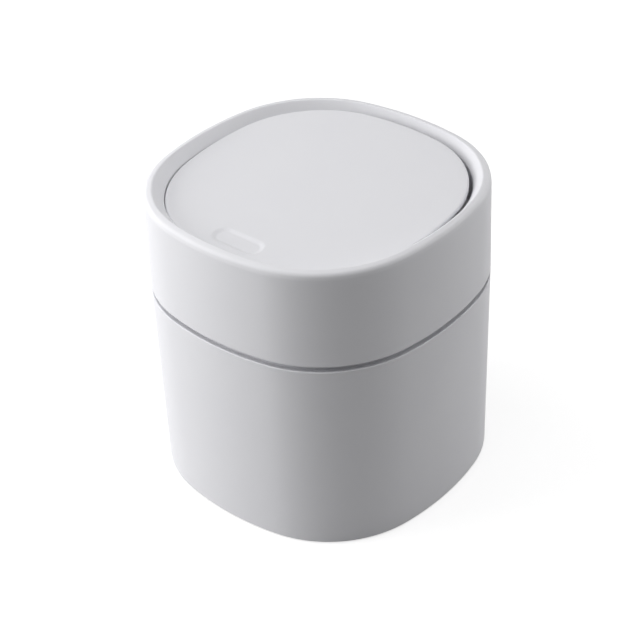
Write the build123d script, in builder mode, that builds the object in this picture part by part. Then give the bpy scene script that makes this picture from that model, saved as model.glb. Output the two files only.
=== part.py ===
from build123d import *
import os
from math import atan2, cos, degrees, pi, radians, sin, sqrt

# Push top countertop bin. Millimetres. Z is up, the bin stands on Z = 0, its press mark is at -Y
# and its lid hinge at +Y. The origin is the middle of the base.

# Plan of the bin at the cover's lower edge: a square with bowed sides and round corners
half_width = 75.0
side_radius = 141.0
corner_radius = 56.8

# Heights of the main parts
foot_drop = 0.6
bucket_height = 101.2
groove_height = 2.5
collar_height = 48.1
throat_depth = 24.0

# Moulded walls and drafts
wall = 2.0
floor_thickness = 2.6
base_inset = 0.8
base_bevel = 0.6
floor_bevel = 4.0
neck_wall = 1.8
neck_lead = 0.6
shoulder = 2.0
shoulder_slope = 2.4
crest_inset = 1.1
rim_rounding = 3.5
lip_bevel = 0.6
throat_wall = 1.8
ledge_thickness = 2.0
rib_thickness = 1.2
rib_count = 8

# Throat inside the rim: it slopes in steeply from its lip to the bend, then gently down to the ledge.
# The ease is the extra radius of its corners.
lip_inset = 5.1
lip_ease = 1.0
throat_bend_depth = 5.0
throat_bend_inset = 7.2
throat_foot_inset = 8.4
throat_ease = 5.0
channel_roof = 5.0
ledge_inset = 15.0

# Base and feet
foot_radius = 5.6
foot_inset = 10.9
foot_pocket = 1.0
foot_chamfer = 0.3
base_recess_inset = 24.0
base_recess_depth = 0.8

# Seat ring and the four screws that hold it to the collar
ring_thickness = 2.0
spigot_length = 16.0
spigot_wall = 1.6
spigot_lead = 0.5
screw_inset = 7.1
screw_radius = 1.1
screw_length = 9.0
screw_hole_spare = 1.0
screw_head_radius = 2.0
screw_head_height = 1.4
screw_relief = 3.0
boss_radius = 2.8
boss_length = 12.0

# Lid: its top face lies below the rim and leans down to the press mark
lid_depth = 4.8
lid_lean = 2.0
lid_inset = 9.4
lid_forward = 0.4
lid_thickness = 1.8
lid_edge_bevel = 0.25
mark_length = 29.0
mark_width = 12.0
mark_depth = 0.8
mark_bevel = 0.5
mark_setback = 22.2
pan_inset = 13.0
pan_draft = 2.5
pan_depth = 9.0
pan_wall = 1.6
pan_setback = 8.0
pan_bevel = 2.0
locating_rib_height = 2.2
locating_rib_thickness = 1.2

# Hinge: two stations, each with two lugs, a knuckle, a pin and a torsion spring
hinge_setback = 29.0
hinge_drop = 4.1
pin_radius = 1.0
pin_head_radius = 1.7
pin_head_thickness = 0.8
lug_radius = 1.95
lug_width = 3.0
lug_foot = 8.0
inner_lug_start = 30.0
outer_lug_start = 40.0
knuckle_width = 2.8
shelf_margin = 3.0
shelf_rib_height = 4.0
shelf_rib_width = 1.6

# Torsion spring wound on each pin
spring_wire_radius = 0.3
spring_coil_radius = 1.75
spring_pitch = 1.05
spring_turns = 2.75
spring_start = 33.5
lid_leg_length = 6.0
rest_leg_length = 6.5
spring_post_width = 2.4
wire_sides = 6

# Push latch on the collar's front shelf
latch_setback = 25.0
front_shelf_reach = 6.0
front_shelf_half_length = 27.0
housing_length = 11.0
housing_width = 9.9
housing_rise = 3.0
housing_depth = 14.4
housing_floor = 1.6
housing_rounding = 1.2
flange_length = 28.0
flange_thickness = 1.6
latch_screw_offset = 10.5
latch_screw_radius = 0.9
latch_screw_length = 6.0
latch_head_radius = 1.8
latch_head_height = 1.2
latch_boss_radius = 2.4
latch_boss_length = 4.0
plunger_length = 6.0
plunger_width = 5.4
plunger_reach = 9.0
plunger_rounding = 0.6
plunger_swing_clearance = 0.85
magnet_radius = 2.0
magnet_thickness = 2.0
magnet_proud = 0.3
latch_spring_wire_radius = 0.25
latch_spring_coil_radius = 1.6
latch_spring_turns = 5
spring_bore_radius = 2.1
spring_bore_depth = 3.0
striker_length = 16.0
striker_width = 8.0
striker_thickness = 1.0
striker_recess = 0.5
striker_rounding = 1.0
striker_screw_offset = 5.5
striker_screw_radius = 0.9
striker_screw_length = 4.5
striker_head_radius = 1.7
striker_boss_radius = 2.4
striker_boss_length = 4.5

# Rubber buffers that stop the pressed lid
buffer_offset = 20.0
buffer_radius = 3.0
buffer_bevel = 0.8
buffer_stem_radius = 1.1
buffer_stem_length = 3.0
buffer_stem_chamfer = 0.3
press_angle = 1.3

# Clearances
skirt_clearance = 0.35
spigot_clearance = 0.4
flange_clearance = 0.4
foot_clearance = 0.2
rib_clearance = 0.3
screw_clearance = 0.05
pin_fit = 0.03
knuckle_fit = 0.05
knuckle_side_clearance = 0.3
leg_clearance = 0.35
plunger_clearance = 0.3
magnet_clearance = 0.05
striker_clearance = 0.1
striker_gap = 0.2
housing_clearance = 0.2
buffer_clearance = 0.3
stem_clearance = 0.1

# Levels that follow from the sizes above
bucket_top = foot_drop + bucket_height
collar_bottom = bucket_top + groove_height
rim_top = collar_bottom + collar_height
ledge_top = rim_top - throat_depth
ledge_bottom = ledge_top - ledge_thickness
neck_top = ledge_bottom - ring_thickness
skirt_draft = crest_inset / collar_height
neck_inset = wall + skirt_clearance
neck_top_inset = neck_inset + skirt_draft * (neck_top - collar_bottom)
lid_plane = Plane(
    origin=(0, 0, rim_top - lid_depth),
    x_dir=(1, 0, 0),
    z_dir=(0, -sin(radians(lid_lean)), cos(radians(lid_lean))),
)
lid_axis = Axis(lid_plane.origin, lid_plane.z_dir)
hinge_offset = half_width - hinge_setback
hinge_line = lid_plane.from_local_coords(Vector(0, hinge_offset, -hinge_drop))
pan_floor = lid_thickness + pan_depth
pan_rear = hinge_offset - pan_setback
rear_shelf_edge = hinge_offset - lug_foot / 2
mark_offset = half_width - mark_setback
latch_offset = half_width - latch_setback
front_shelf_edge = latch_offset - front_shelf_reach
housing_top = ledge_top + housing_rise

os.makedirs("parts", exist_ok=True)


# Closed plan outline, drawn a given inset inside the bin's largest outline. The centres of its eight
# arcs stay where they are, and ease makes the corners rounder than the inset alone would.
def plan(inset, ease=0.0):
    side = side_radius - inset
    corner = corner_radius - inset + ease
    side_centre = half_width - side_radius
    reach = side - corner
    corner_centre = (side_centre + sqrt(2 * reach**2 - side_centre**2)) / 2
    half_turn = degrees(atan2(corner_centre, corner_centre - side_centre))
    with BuildSketch() as outline:
        with BuildLine():
            for turn in (0, 90, 180, 270):
                middle = Vector(side_centre, 0).rotate(Axis.Z, turn)
                CenterArc(middle, side, turn - half_turn, 2 * half_turn)
                middle = Vector(corner_centre, corner_centre).rotate(Axis.Z, turn)
                CenterArc(middle, corner, turn + half_turn, 90 - 2 * half_turn)
        make_face()
    return outline.sketch


# Solid through plan outlines given as (height, inset, ease)
def moulded(*sections, base=Plane.XY):
    with BuildPart() as solid:
        for height, inset, ease in sections:
            with BuildSketch(base.offset(height)):
                add(plan(inset, ease))
        loft(ruled=True)
    return solid.part


# Point on the plan's diagonal, a given inset from the corner's outline
def corner_point(inset):
    reach = side_radius - corner_radius
    side_centre = half_width - side_radius
    centre = (side_centre + sqrt(2 * reach**2 - side_centre**2)) / 2
    return centre + (corner_radius - inset) / sqrt(2)


# Path of a coil about the Z axis of its plane, as a pair of tangent arcs for each step of the turn
def coil_path(radius, pitch, turns, turn_steps, start_angle, lead_in, lead_out):
    steps = round(turns * turn_steps)
    points = []
    tangents = []
    for step in range(steps + 1):
        angle = radians(start_angle + 360 * step / turn_steps)
        points.append(Vector(radius * cos(angle), radius * sin(angle), pitch * step / turn_steps))
        tangents.append(Vector(-radius * sin(angle), radius * cos(angle), pitch / (2 * pi)).normalized())
    with BuildLine() as path:
        if lead_in:
            Line(points[0] - tangents[0] * lead_in, points[0])
        for step in range(steps):
            start, end = points[step], points[step + 1]
            before, after = tangents[step], tangents[step + 1]
            span = end - start
            along = span.dot(before + after)
            turn = 2 * (1 - before.dot(after))
            reach = (sqrt(along**2 + turn * span.dot(span)) - along) / turn
            middle = (start + end + (before - after) * reach) / 2
            TangentArc(start, middle, tangent=before)
            TangentArc(end, middle, tangent=-after)
        if lead_out:
            Line(points[-1], points[-1] + tangents[-1] * lead_out)
    return path.line


# Least free gap between neighbouring turns of a coil, measured on points a turn apart
def coil_gap(radius, pitch, turns, wire_radius):
    least = pitch * turns
    for step in range(round((turns - 1) * 72)):
        here = Vector(radius * cos(step * pi / 36), radius * sin(step * pi / 36), pitch * step / 72)
        for other in range(54, 91):
            angle = (step + other) * pi / 36
            there = Vector(radius * cos(angle), radius * sin(angle), pitch * (step + other) / 72)
            least = min(least, (there - here).length)
    return least - 2 * wire_radius


foot_place = corner_point(foot_inset)
screw_place = corner_point(screw_inset)

# Bucket: drafted wall and floor, with a stepped neck that the cover stands on
with BuildPart() as bucket:
    add(moulded((foot_drop, base_inset, 0), (bucket_top, 0, 0)))
    chamfer(bucket.edges().group_by(Axis.Z)[0], base_bevel)
    add(moulded((bucket_top - shoulder, neck_inset, 0), (neck_top, neck_top_inset, 0)))
    chamfer(bucket.edges().group_by(Axis.Z)[-1], neck_lead)
    with BuildPart(mode=Mode.PRIVATE) as cavity:
        add(moulded(
            (foot_drop + floor_thickness, base_inset + wall, 0),
            (bucket_top - shoulder - shoulder_slope, wall, 0),
            (bucket_top - shoulder, neck_inset + neck_wall, 0),
            (neck_top, neck_top_inset + neck_wall, 0),
        ))
        chamfer(cavity.edges().group_by(Axis.Z)[0], floor_bevel)
    add(cavity.part, mode=Mode.SUBTRACT)
    with BuildSketch(Plane.XY.offset(foot_drop)):
        with GridLocations(2 * foot_place, 2 * foot_place, 2, 2):
            Circle(foot_radius + foot_clearance)
    extrude(amount=foot_pocket, mode=Mode.SUBTRACT)
    with BuildSketch(Plane.XY.offset(foot_drop)):
        add(plan(base_recess_inset))
    extrude(amount=base_recess_depth, mode=Mode.SUBTRACT)
bucket.part.label = "bucket"
export_step(bucket.part, "parts/bucket.step")

# Rubber feet in the four pockets of the base
foot_sides = {
    "foot_front_left": (-1, -1),
    "foot_front_right": (1, -1),
    "foot_rear_left": (-1, 1),
    "foot_rear_right": (1, 1),
}
for name, (side_x, side_y) in foot_sides.items():
    with BuildPart() as foot:
        with BuildSketch():
            with Locations((side_x * foot_place, side_y * foot_place)):
                Circle(foot_radius)
        extrude(amount=foot_drop + foot_pocket)
        chamfer(foot.edges().group_by(Axis.Z)[0], foot_chamfer)
    foot.part.label = name
    export_step(foot.part, f"parts/{name}.step")


# Channel between the collar's skirt and its throat wall, open from below
channel_top = rim_top - channel_roof
with BuildPart() as channel:
    add(moulded(
        (ledge_bottom, wall + skirt_draft * (ledge_bottom - collar_bottom), 0),
        (channel_top, wall + skirt_draft * (channel_top - collar_bottom), 0),
    ))
    add(moulded(
        (ledge_bottom, throat_foot_inset - throat_wall, throat_ease),
        (channel_top, throat_bend_inset - throat_wall, throat_ease),
    ), mode=Mode.SUBTRACT)
with BuildPart() as channel_ribs:
    with BuildSketch(Plane.XY.offset(ledge_bottom)):
        with PolarLocations(half_width, rib_count, start_angle=180 / rib_count):
            Rectangle(half_width, rib_thickness)
    extrude(amount=channel_top - ledge_bottom)
    add(channel.part, mode=Mode.INTERSECT)

lug_starts = (inner_lug_start, outer_lug_start)
outer_lug_end = outer_lug_start + lug_width
shelf_half_length = outer_lug_end + shelf_margin
knuckle_start = outer_lug_start - knuckle_side_clearance - knuckle_width

# Collar: skirt, rolled rim, sloped throat, ledge, channel ribs, screw bosses, hinge lugs, latch shelf
with BuildPart() as collar:
    add(moulded((collar_bottom, 0, 0), (rim_top, crest_inset, 0)))
    fillet(collar.edges().group_by(Axis.Z)[-1], rim_rounding)
    add(moulded(
        (ledge_top, throat_foot_inset, throat_ease),
        (rim_top - throat_bend_depth, throat_bend_inset, throat_ease),
        (rim_top - lip_bevel, lip_inset, lip_ease),
        (rim_top, lip_inset - lip_bevel, lip_ease),
    ), mode=Mode.SUBTRACT)
    add(moulded(
        (collar_bottom, wall, 0),
        (ledge_bottom, wall + skirt_draft * (ledge_bottom - collar_bottom), 0),
    ), mode=Mode.SUBTRACT)
    add(channel.part, mode=Mode.SUBTRACT)
    add(channel_ribs.part)
    with BuildSketch(Plane.XY.offset(ledge_bottom)):
        add(plan(ledge_inset, throat_ease))
        with Locations((0, rear_shelf_edge)):
            Rectangle(2 * shelf_half_length, half_width, align=(Align.CENTER, Align.MIN), mode=Mode.SUBTRACT)
        with Locations((0, -front_shelf_edge)):
            Rectangle(2 * front_shelf_half_length, half_width, align=(Align.CENTER, Align.MAX),
                      mode=Mode.SUBTRACT)
    extrude(amount=ledge_thickness, mode=Mode.SUBTRACT)
    with BuildSketch(Plane.XY.offset(ledge_bottom)):
        with Locations((0, rear_shelf_edge)):
            Rectangle(2 * outer_lug_end, shelf_rib_width, align=(Align.CENTER, Align.MIN))
        with Locations((0, -front_shelf_edge)):
            Rectangle(2 * front_shelf_half_length, shelf_rib_width, align=(Align.CENTER, Align.MAX))
    extrude(amount=-shelf_rib_height)
    with GridLocations(2 * screw_place, 2 * screw_place, 2, 2):
        with Locations((0, 0, ledge_bottom)):
            Cylinder(boss_radius, boss_length, align=(Align.CENTER, Align.CENTER, Align.MIN))
            Cylinder(screw_radius + screw_clearance, screw_length + screw_hole_spare,
                     align=(Align.CENTER, Align.CENTER, Align.MIN), mode=Mode.SUBTRACT)
    for side in (-1, 1):
        for lug_start in lug_starts:
            lug_centre = side * (lug_start + lug_width / 2)
            with BuildSketch(Plane.YZ.offset(lug_centre)):
                with Locations((hinge_line.Y, hinge_line.Z)):
                    Circle(lug_radius)
                with Locations((hinge_line.Y, ledge_top)):
                    Rectangle(lug_foot, shelf_rib_width, align=(Align.CENTER, Align.MAX))
                make_hull()
            extrude(amount=lug_width / 2, both=True)
        with BuildSketch(Plane.XY.offset(ledge_top)):
            with Locations((side * (inner_lug_start + lug_width + spring_pitch * spring_turns / 2),
                            hinge_line.Y)):
                Rectangle(spring_pitch * spring_turns + lug_width / 2, spring_post_width)
        extrude(amount=hinge_line.Z - spring_coil_radius - 2 * spring_wire_radius - ledge_top)
    with BuildSketch(Plane.YZ):
        with Locations((hinge_line.Y, hinge_line.Z)):
            Circle(pin_radius + pin_fit)
    extrude(amount=shelf_half_length, both=True, mode=Mode.SUBTRACT)
    with BuildSketch(Plane.XY.offset(ledge_bottom)):
        with Locations((-latch_screw_offset, -latch_offset), (latch_screw_offset, -latch_offset)):
            Circle(latch_boss_radius)
    extrude(amount=-latch_boss_length)
    with BuildSketch(Plane.XY.offset(ledge_top)):
        with Locations((0, -latch_offset)):
            Rectangle(housing_length + 2 * housing_clearance, housing_width + 2 * housing_clearance)
        with Locations((-latch_screw_offset, -latch_offset), (latch_screw_offset, -latch_offset)):
            Circle(latch_screw_radius + screw_clearance)
        with Locations((-buffer_offset, -latch_offset), (buffer_offset, -latch_offset)):
            Circle(buffer_stem_radius + stem_clearance)
    extrude(amount=-ledge_thickness - latch_boss_length, mode=Mode.SUBTRACT)
collar.part.label = "collar"
export_step(collar.part, "parts/collar.step")


# Seat ring: flange under the ledge and a spigot that reaches into the bucket's neck
spigot_inset = neck_top_inset + neck_wall + spigot_clearance
with BuildPart() as seat_ring:
    with BuildSketch(Plane.XY.offset(neck_top)):
        add(plan(wall + skirt_draft * (neck_top - collar_bottom) + flange_clearance))
        add(plan(ledge_inset, throat_ease), mode=Mode.SUBTRACT)
    extrude(amount=ring_thickness)
    with BuildPart(mode=Mode.PRIVATE) as spigot:
        with BuildSketch(Plane.XY.offset(neck_top)):
            add(plan(spigot_inset))
            add(plan(spigot_inset + spigot_wall), mode=Mode.SUBTRACT)
        extrude(amount=-spigot_length)
        chamfer(spigot.faces().sort_by(Axis.Z)[0].outer_wire().edges(), spigot_lead)
        with BuildSketch(Plane.XY.offset(neck_top)):
            with GridLocations(2 * screw_place, 2 * screw_place, 2, 2):
                Circle(screw_relief)
        extrude(amount=-spigot_length, mode=Mode.SUBTRACT)
    add(spigot.part)
    with BuildSketch(Plane.XY.offset(neck_top)):
        with GridLocations(2 * screw_place, 2 * screw_place, 2, 2):
            Circle(screw_radius + screw_clearance)
    extrude(amount=ring_thickness, mode=Mode.SUBTRACT)
seat_ring.part.label = "seat_ring"
export_step(seat_ring.part, "parts/seat_ring.step")

# Four pan-head screws from below through the seat ring into the collar's bosses
with BuildPart() as ring_screws:
    with BuildSketch(Plane.XY.offset(neck_top)):
        with GridLocations(2 * screw_place, 2 * screw_place, 2, 2):
            Circle(screw_head_radius)
    extrude(amount=-screw_head_height)
    chamfer(ring_screws.edges().group_by(Axis.Z)[0], screw_head_height / 3)
    with BuildSketch(Plane.XY.offset(neck_top)):
        with GridLocations(2 * screw_place, 2 * screw_place, 2, 2):
            Circle(screw_radius)
    extrude(amount=screw_length)
ring_screws.part.label = "ring_screws"
export_step(ring_screws.part, "parts/ring_screws.step")

# Hinge pins, headed at their inner ends, and the torsion springs wound on them
for name, side in (("left", -1), ("right", 1)):
    pin_plane = Plane(hinge_line, x_dir=(0, 1, 0), z_dir=(side, 0, 0))
    with BuildPart() as pin:
        with BuildSketch(pin_plane.offset(inner_lug_start - pin_head_thickness)):
            Circle(pin_head_radius)
        extrude(amount=pin_head_thickness)
        with BuildSketch(pin_plane.offset(inner_lug_start)):
            Circle(pin_radius)
        extrude(amount=outer_lug_end + pin_head_thickness - inner_lug_start)
        chamfer(pin.edges().group_by(Axis.X)[0 if side < 0 else -1], pin_radius / 3)
    pin.part.label = f"hinge_pin_{name}"
    export_step(pin.part, f"parts/hinge_pin_{name}.step")

# The coil's frame has the press side as its X axis and the lid's top face as its reference
spring_gap = coil_gap(spring_coil_radius, spring_pitch, spring_turns, spring_wire_radius)
print("hinge spring, least gap between turns", round(spring_gap, 2))
with BuildPart() as spring_master:
    spring_path = coil_path(spring_coil_radius, spring_pitch, spring_turns, 4, -90,
                            lid_leg_length, rest_leg_length)
    with BuildSketch(Plane(spring_path @ 0, z_dir=spring_path % 0)):
        RegularPolygon(spring_wire_radius, wire_sides)
    sweep(path=spring_path)
for name, side in (("left", -1), ("right", 1)):
    spring_plane = Plane(
        hinge_line + Vector(side * spring_start, 0, 0),
        x_dir=lid_plane.y_dir,
        z_dir=(1, 0, 0),
    )
    with BuildPart() as hinge_spring:
        placed = spring_plane.location * spring_master.part
        add(placed if side > 0 else mirror(placed, Plane.YZ.offset(-spring_start), mode=Mode.PRIVATE))
    hinge_spring.part.label = f"hinge_spring_{name}"
    export_step(hinge_spring.part, f"parts/hinge_spring_{name}.step")

# Latch housing: a rectangular well with a flange that lies on the shelf
housing_bottom = housing_top - housing_depth
well_length = plunger_length + 2 * plunger_clearance
well_width = plunger_width + 2 * plunger_swing_clearance
with BuildPart() as latch_housing:
    with BuildSketch(Plane.XY.offset(housing_bottom)):
        with Locations((0, -latch_offset)):
            RectangleRounded(housing_length, housing_width, housing_rounding)
    extrude(amount=housing_depth)
    chamfer(latch_housing.edges().group_by(Axis.Z)[0], housing_rounding / 2)
    with BuildSketch(Plane.XY.offset(ledge_top)):
        with Locations((0, -latch_offset)):
            SlotOverall(flange_length, housing_width)
    extrude(amount=flange_thickness)
    with BuildSketch(Plane.XY.offset(housing_bottom + housing_floor)):
        with Locations((0, -latch_offset)):
            RectangleRounded(well_length, well_width, plunger_rounding)
    extrude(amount=housing_depth, mode=Mode.SUBTRACT)
    with BuildSketch(Plane.XY.offset(ledge_top)):
        with Locations((-latch_screw_offset, -latch_offset), (latch_screw_offset, -latch_offset)):
            Circle(latch_screw_radius + screw_clearance)
    extrude(amount=flange_thickness, mode=Mode.SUBTRACT)
latch_housing.part.label = "latch_housing"
export_step(latch_housing.part, "parts/latch_housing.step")

with BuildPart() as latch_screws:
    with BuildSketch(Plane.XY.offset(ledge_top + flange_thickness)):
        with Locations((-latch_screw_offset, -latch_offset), (latch_screw_offset, -latch_offset)):
            Circle(latch_head_radius)
    extrude(amount=latch_head_height)
    chamfer(latch_screws.edges().group_by(Axis.Z)[-1], latch_head_height / 3)
    with BuildSketch(Plane.XY.offset(ledge_top + flange_thickness)):
        with Locations((-latch_screw_offset, -latch_offset), (latch_screw_offset, -latch_offset)):
            Circle(latch_screw_radius)
    extrude(amount=-latch_screw_length)
latch_screws.part.label = "latch_screws"
export_step(latch_screws.part, "parts/latch_screws.step")

# Plunger, with the magnet in its tip and the spring's bore below
striker_face = lid_plane.from_local_coords(
    Vector(0, -latch_offset, -pan_floor + striker_recess - striker_thickness))
magnet_top = striker_face.Z - striker_gap
plunger_top = magnet_top - magnet_proud
plunger_bottom = plunger_top - plunger_reach
with BuildPart() as latch_plunger:
    with BuildSketch(Plane.XY.offset(plunger_bottom)):
        with Locations((0, -latch_offset)):
            RectangleRounded(plunger_length, plunger_width, plunger_rounding)
    extrude(amount=plunger_reach)
    chamfer(latch_plunger.edges().group_by(Axis.Z)[-1], plunger_rounding / 2)
    with BuildSketch(Plane.XY.offset(plunger_top)):
        with Locations((0, -latch_offset)):
            Circle(magnet_radius + magnet_clearance)
    extrude(amount=magnet_proud - magnet_thickness, mode=Mode.SUBTRACT)
    with BuildSketch(Plane.XY.offset(plunger_bottom)):
        with Locations((0, -latch_offset)):
            Circle(spring_bore_radius)
    extrude(amount=spring_bore_depth, mode=Mode.SUBTRACT)
latch_plunger.part.label = "latch_plunger"
export_step(latch_plunger.part, "parts/latch_plunger.step")

with BuildPart() as catch_magnet:
    with BuildSketch(Plane.XY.offset(magnet_top)):
        with Locations((0, -latch_offset)):
            Circle(magnet_radius)
    extrude(amount=-magnet_thickness)
catch_magnet.part.label = "catch_magnet"
export_step(catch_magnet.part, "parts/catch_magnet.step")

# Compression spring from the housing's floor to the top of the plunger's bore
latch_spring_bottom = housing_bottom + housing_floor + latch_spring_wire_radius
latch_spring_top = plunger_bottom + spring_bore_depth - latch_spring_wire_radius
latch_spring_pitch = (latch_spring_top - latch_spring_bottom) / latch_spring_turns
latch_spring_gap = coil_gap(latch_spring_coil_radius, latch_spring_pitch, latch_spring_turns,
                            latch_spring_wire_radius)
print("latch spring, least gap between turns", round(latch_spring_gap, 2))
with BuildPart() as latch_spring:
    latch_path = coil_path(latch_spring_coil_radius, latch_spring_pitch, latch_spring_turns, 2, 0, 0, 0)
    with BuildSketch(Plane(latch_path @ 0, z_dir=latch_path % 0)):
        RegularPolygon(latch_spring_wire_radius, wire_sides)
    sweep(path=latch_path)
latch_spring_part = Location((0, -latch_offset, latch_spring_bottom)) * latch_spring.part
latch_spring_part.label = "latch_spring"
export_step(latch_spring_part, "parts/latch_spring.step")

# Rubber buffers pressed into the shelf, under the pan's floor
pressed = lid_plane.from_local_coords(Vector(buffer_offset, -latch_offset, -pan_floor))
pressed = pressed - hinge_line
pressed = pressed.rotate(Axis.X, press_angle) + hinge_line
buffer_top = pressed.Z - buffer_clearance
for name, side in (("left", -1), ("right", 1)):
    with BuildPart() as lid_buffer:
        with BuildSketch(Plane.XY.offset(ledge_top)):
            with Locations((side * buffer_offset, -latch_offset)):
                Circle(buffer_radius)
        extrude(amount=buffer_top - ledge_top)
        chamfer(lid_buffer.edges().group_by(Axis.Z)[-1], buffer_bevel)
        with BuildSketch(Plane.XY.offset(ledge_top)):
            with Locations((side * buffer_offset, -latch_offset)):
                Circle(buffer_stem_radius)
        extrude(amount=-buffer_stem_length)
        chamfer(lid_buffer.edges().group_by(Axis.Z)[0], buffer_stem_chamfer)
    lid_buffer.part.label = f"lid_buffer_{name}"
    export_step(lid_buffer.part, f"parts/lid_buffer_{name}.step")


# Plan outline cut straight across at the lid pan's rear wall
def pan_outline(inset, rear):
    with BuildSketch() as outline:
        add(plan(inset, throat_ease))
        with Locations((0, rear)):
            Rectangle(2 * half_width, half_width, align=(Align.CENTER, Align.MIN), mode=Mode.SUBTRACT)
    return outline.sketch


# Solid through the pan's outlines, given as (depth below the lid's top face, inset, rear wall)
def pan_body(*sections):
    with BuildPart() as solid:
        for depth, inset, rear in sections:
            with BuildSketch(lid_plane.offset(-depth)):
                add(pan_outline(inset, rear))
        loft(ruled=True)
    return solid.part


# Lid panel: flat skin with the oblong press mark and a locating rib that stands inside the pan
rib_draft = pan_draft / (pan_depth - pan_wall) * locating_rib_height
rib_inset = pan_inset + pan_wall + rib_clearance + rib_draft
rib_rear = pan_rear - pan_wall - rib_clearance - rib_draft
with BuildPart() as lid_panel:
    with BuildSketch(lid_plane):
        with Locations((0, -lid_forward)):
            add(plan(lid_inset, throat_ease))
    extrude(amount=-lid_thickness)
    chamfer(lid_panel.faces().sort_by(lid_axis)[-1].edges(), lid_edge_bevel)
    with BuildPart(mode=Mode.PRIVATE) as mark:
        with BuildSketch(lid_plane.offset(-mark_depth)):
            with Locations((0, -mark_offset)):
                SlotOverall(mark_length, mark_width)
        extrude(amount=2 * mark_depth)
        chamfer(mark.faces().sort_by(lid_axis)[0].edges(), mark_bevel)
    add(mark.part, mode=Mode.SUBTRACT)
    with BuildSketch(lid_plane.offset(-lid_thickness)):
        add(pan_outline(rib_inset, rib_rear))
        add(pan_outline(rib_inset + locating_rib_thickness, rib_rear - locating_rib_thickness),
            mode=Mode.SUBTRACT)
    extrude(amount=-locating_rib_height)
lid_panel.part.label = "lid_panel"
export_step(lid_panel.part, "parts/lid_panel.step")

# Lid pan: closed shell under the panel, with two hinge arms and the striker's seat
pan_floor_inset = pan_inset + pan_draft
pan_floor_rear = pan_rear - pan_draft
with BuildPart() as lid_pan:
    add(pan_body(
        (lid_thickness, pan_inset, pan_rear),
        (pan_floor - pan_bevel, pan_floor_inset, pan_floor_rear),
        (pan_floor, pan_floor_inset + pan_bevel, pan_floor_rear - pan_bevel),
    ))
    add(pan_body(
        (lid_thickness, pan_inset + pan_wall, pan_rear - pan_wall),
        (pan_floor - pan_wall, pan_floor_inset + pan_wall, pan_floor_rear - pan_wall),
    ), mode=Mode.SUBTRACT)
    with BuildSketch(lid_plane.offset(pan_wall - pan_floor)):
        with Locations((-striker_screw_offset, -latch_offset), (striker_screw_offset, -latch_offset)):
            Circle(striker_boss_radius)
    extrude(amount=striker_boss_length)
    with BuildSketch(lid_plane.offset(-pan_floor)):
        with Locations((0, -latch_offset)):
            RectangleRounded(striker_length + 2 * striker_clearance, striker_width + 2 * striker_clearance,
                             striker_rounding + striker_clearance)
    extrude(amount=striker_recess, mode=Mode.SUBTRACT)
    with BuildSketch(lid_plane.offset(-pan_floor)):
        with Locations((-striker_screw_offset, -latch_offset), (striker_screw_offset, -latch_offset)):
            Circle(striker_screw_radius + screw_clearance)
    extrude(amount=striker_recess + striker_screw_length, mode=Mode.SUBTRACT)
    for side in (-1, 1):
        knuckle_centre = side * (knuckle_start + knuckle_width / 2)
        arm_plane = Plane(lid_plane.from_local_coords(Vector(knuckle_centre, 0, 0)),
                          x_dir=lid_plane.y_dir, z_dir=(1, 0, 0))
        with BuildSketch(arm_plane):
            with Locations((hinge_offset, -hinge_drop)):
                Circle(lug_radius)
            with Locations((pan_rear - pan_wall / 2, -lid_thickness)):
                Rectangle(pan_wall / 2, pan_depth * 2 / 3, align=(Align.MIN, Align.MAX))
            make_hull()
            with Locations((hinge_offset, -hinge_drop)):
                Circle(pin_radius + knuckle_fit, mode=Mode.SUBTRACT)
        extrude(amount=knuckle_width / 2, both=True)
        tab_bottom = hinge_drop + spring_coil_radius - spring_wire_radius - leg_clearance
        tab_inner = spring_start - spring_wire_radius
        with BuildSketch(lid_plane.offset(-lid_thickness)):
            with Locations((side * (tab_inner + knuckle_start) / 2, pan_rear - pan_wall)):
                Rectangle(knuckle_start - tab_inner, rear_shelf_edge - pan_rear + pan_wall,
                          align=(Align.CENTER, Align.MIN))
        extrude(amount=lid_thickness - tab_bottom)
lid_pan.part.label = "lid_pan"
export_step(lid_pan.part, "parts/lid_pan.step")

# Steel plate for the magnet, let into the pan's floor, with two countersunk screws
with BuildPart() as striker_plate:
    with BuildSketch(lid_plane.offset(striker_recess - pan_floor)):
        with Locations((0, -latch_offset)):
            RectangleRounded(striker_length, striker_width, striker_rounding)
    extrude(amount=-striker_thickness)
    with BuildPart(mode=Mode.PRIVATE) as sinks:
        for side in (-1, 1):
            sink = lid_plane.from_local_coords(
                Vector(side * striker_screw_offset, -latch_offset, striker_recess - pan_floor))
            with Locations(Plane(sink, x_dir=(1, 0, 0), z_dir=lid_plane.z_dir)):
                Cone(striker_head_radius + screw_clearance, striker_screw_radius + screw_clearance,
                     striker_thickness, align=(Align.CENTER, Align.CENTER, Align.MAX))
    add(sinks.part, mode=Mode.SUBTRACT)
striker_plate.part.label = "striker_plate"
export_step(striker_plate.part, "parts/striker_plate.step")

with BuildPart() as striker_screws:
    for side in (-1, 1):
        seat = lid_plane.from_local_coords(
            Vector(side * striker_screw_offset, -latch_offset, striker_recess - pan_floor))
        with Locations(Plane(seat, x_dir=(1, 0, 0), z_dir=lid_plane.z_dir)):
            Cone(striker_head_radius, striker_screw_radius, striker_thickness,
                 align=(Align.CENTER, Align.CENTER, Align.MAX))
            Cylinder(striker_screw_radius, striker_screw_length - striker_recess,
                     align=(Align.CENTER, Align.CENTER, Align.MIN))
striker_screws.part.label = "striker_screws"
export_step(striker_screws.part, "parts/striker_screws.step")
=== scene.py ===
import math
import bpy
import numpy as np
from mathutils import Matrix, Vector
from mathutils.geometry import convex_hull_2d


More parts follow.
